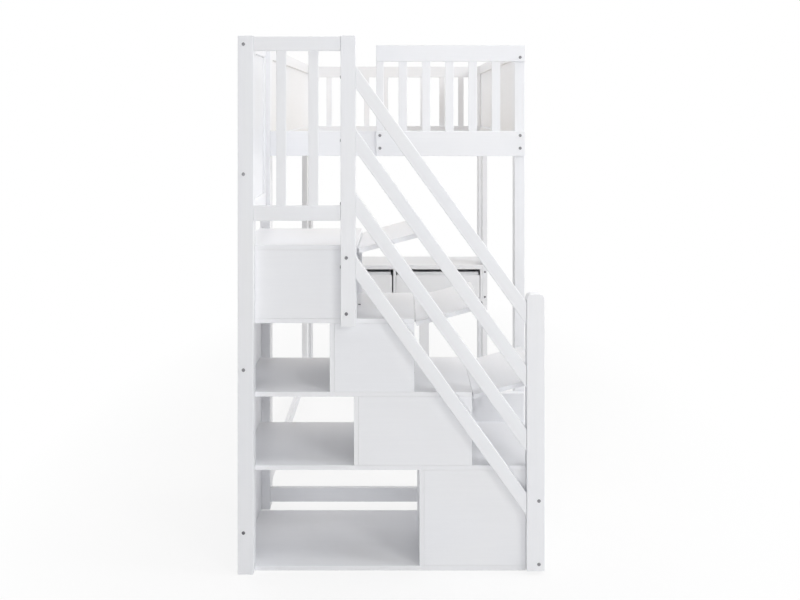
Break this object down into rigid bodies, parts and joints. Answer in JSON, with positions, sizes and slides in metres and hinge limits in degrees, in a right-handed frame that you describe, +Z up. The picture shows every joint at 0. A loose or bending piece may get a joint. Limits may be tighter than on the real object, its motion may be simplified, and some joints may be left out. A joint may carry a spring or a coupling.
{
  "type": "loft bed with storage stairs",
  "caption": "Painted wooden loft bed with slatted end guards, storage stairs with lift-up flaps and sloping handrails, and a desk with drawers underneath.",
  "frame": {"origin": "on the floor, under the middle of the bounding box", "axes": "+X to the bed's right as seen from the stairs, +Y from the stairs towards the desk, +Z up"},
  "size_m": [1.073, 2.521, 1.874],
  "materials": {
    "white_paint": "satin white paint",
    "hinge_steel": "zinc plated",
    "bare_pine": "sanded"
  },
  "bodies": {
    "bed_frame": {"front_left_post": "white_paint", "landing_post": "white_paint", "newel_post": "white_paint", "handrail_1": "white_paint", "handrail_2": "white_paint", "handrail_3": "white_paint", "handrail_4": "white_paint", "stair_base_board": "white_paint", "stair_tread_1": "white_paint", "stair_tread_2": "white_paint", "stair_tread_3": "white_paint", "stair_tread_4": "white_paint", "stair_divider_1": "white_paint", "stair_divider_2": "white_paint", "stair_divider_3": "white_paint", "outer_panel_1": "white_paint", "outer_panel_2": "white_paint", "outer_panel_3": "white_paint", "outer_panel_4": "white_paint", "stair_back_panel": "white_paint", "left_side_panel": "white_paint", "riser_panel": "white_paint", "landing_front_guard": "white_paint", "landing_side_guard": "white_paint", "upper_link_rail": "white_paint", "lower_link_rail": "white_paint", "near_left_leg": "white_paint", "near_right_leg": "white_paint", "far_left_leg": "white_paint", "far_right_leg": "white_paint", "near_end_rail": "white_paint", "far_end_rail": "white_paint", "left_side_rail": "white_paint", "right_side_rail": "white_paint", "near_guard": "white_paint", "far_guard": "white_paint", "left_guard": "white_paint", "right_guard": "white_paint", "near_stretcher": "white_paint", "left_stretcher": "white_paint", "desk_top": "white_paint", "desk_bottom": "white_paint", "desk_back_rail": "white_paint", "desk_divider": "white_paint", "desk_leg": "white_paint", "desk_end_left": "white_paint", "desk_end_right": "white_paint", "desk_left_board": "white_paint", "desk_right_board": "white_paint", "flap_hinge_2": "hinge_steel", "flap_hinge_3": "hinge_steel", "flap_hinge_4": "hinge_steel", "bed_slats": "bare_pine"},
    "flap_2": {"riser_flap_2": "white_paint"},
    "flap_3": {"riser_flap_3": "white_paint"},
    "flap_4": {"riser_flap_4": "white_paint"},
    "drawer_left": {"drawer_front_left": "white_paint", "drawer_box_left": "white_paint"},
    "drawer_right": {"drawer_front_right": "white_paint", "drawer_box_right": "white_paint"}
  },
  "joints": [
    {"name": "flap_2_hinge", "type": "hinge", "parent": "bed_frame", "child": "flap_2", "pos_m": [0.2863, -0.99435, 0.60723], "axis": [0, 1, 0], "range_deg": [0, 105]},
    {"name": "flap_3_hinge", "type": "hinge", "parent": "bed_frame", "child": "flap_3", "pos_m": [0.0843, -0.99435, 0.86457], "axis": [0, 1, 0], "range_deg": [0, 105]},
    {"name": "flap_4_hinge", "type": "hinge", "parent": "bed_frame", "child": "flap_4", "pos_m": [-0.1177, -0.99435, 1.1219], "axis": [0, 1, 0], "range_deg": [0, 105]},
    {"name": "drawer_left_slide", "type": "slide", "parent": "bed_frame", "child": "drawer_left", "axis": [0, -1, 0], "range_m": [0, 0.2]},
    {"name": "drawer_right_slide", "type": "slide", "parent": "bed_frame", "child": "drawer_right", "axis": [0, -1, 0], "range_m": [0, 0.2]}
  ]
}
